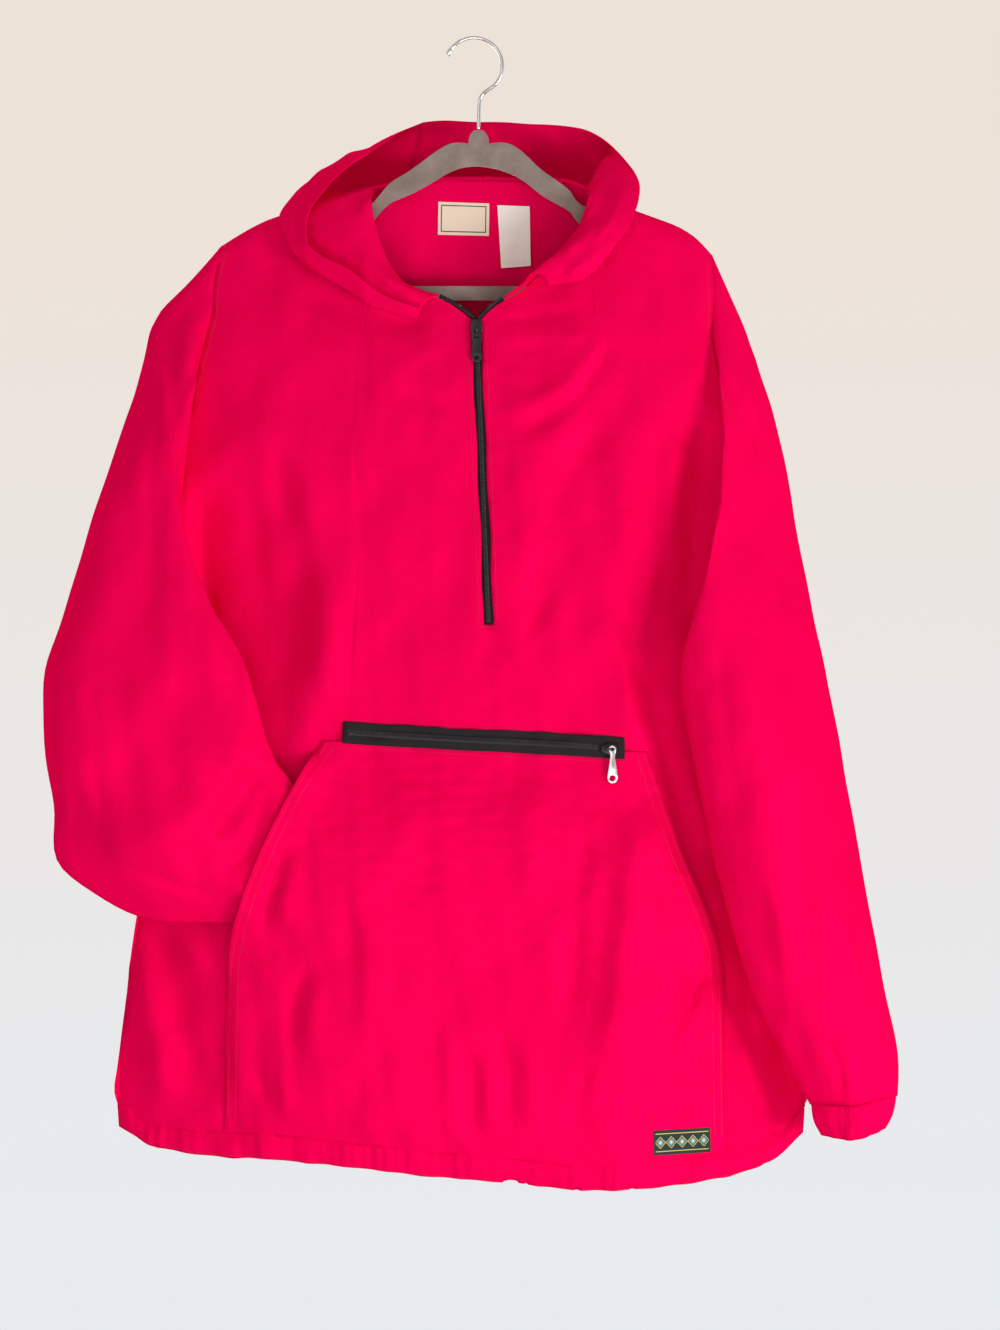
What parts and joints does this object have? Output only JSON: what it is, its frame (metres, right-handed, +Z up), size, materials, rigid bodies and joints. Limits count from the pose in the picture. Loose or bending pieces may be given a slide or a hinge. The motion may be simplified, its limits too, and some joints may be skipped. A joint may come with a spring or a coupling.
{
  "type": "anorak pullover",
  "caption": "Hooded anorak pullover with a half-length front zip, a kangaroo pocket and gathered cuffs and hem, hanging on a slim padded hanger with a wire hook.",
  "frame": {"origin": "inside top of the hanger's hook, where the rail or peg carries everything", "axes": "+Z up, -Y out of the garment's front towards the viewer, +X to the viewer's right"},
  "size_m": [0.7501, 0.1617, 1.0165],
  "materials": {
    "nylon_red": "thin crisp nylon, slight sheen",
    "zip_tape_black": "woven tape",
    "zip_dark_metal": "dark satin",
    "zip_silver_metal": "bright",
    "label_cream": "woven label",
    "care_tag_white": "satin tag",
    "hem_patch_green": "woven patch",
    "hanger_velvet_grey": "flocked velvet",
    "hook_chrome": "polished wire"
  },
  "bodies": {
    "garment": {"front_panel": "nylon_red", "back_panel": "nylon_red", "sleeve_left": "nylon_red", "sleeve_right": "nylon_red", "cuff_left": "nylon_red", "cuff_right": "nylon_red", "hem_band": "nylon_red", "hood_left": "nylon_red", "hood_right": "nylon_red", "pouch": "nylon_red", "front_zip_tape": "zip_tape_black", "front_zip_slider": "zip_dark_metal", "pocket_zip_tape": "zip_tape_black", "pocket_zip_slider": "zip_dark_metal", "neck_label": "label_cream", "care_tag": "care_tag_white", "hem_patch": "hem_patch_green", "hanger_body": "hanger_velvet_grey", "hanger_hook": "hook_chrome"},
    "front_zip_tab": {"front_zip_pull": "zip_dark_metal"},
    "pocket_zip_tab": {"pocket_zip_pull": "zip_silver_metal"}
  },
  "joints": [
    {"name": "front_zip_tab_lift", "type": "hinge", "parent": "garment", "child": "front_zip_tab", "pos_m": [0.00232, -0.03263, -0.256], "axis": [-1, 0, 0], "range_deg": [0, 165]},
    {"name": "pocket_zip_tab_swing", "type": "hinge", "parent": "garment", "child": "pocket_zip_tab", "pos_m": [0.1216, -0.04238, -0.625], "axis": [0, 1, 0], "range_deg": [-90, 45]}
  ]
}
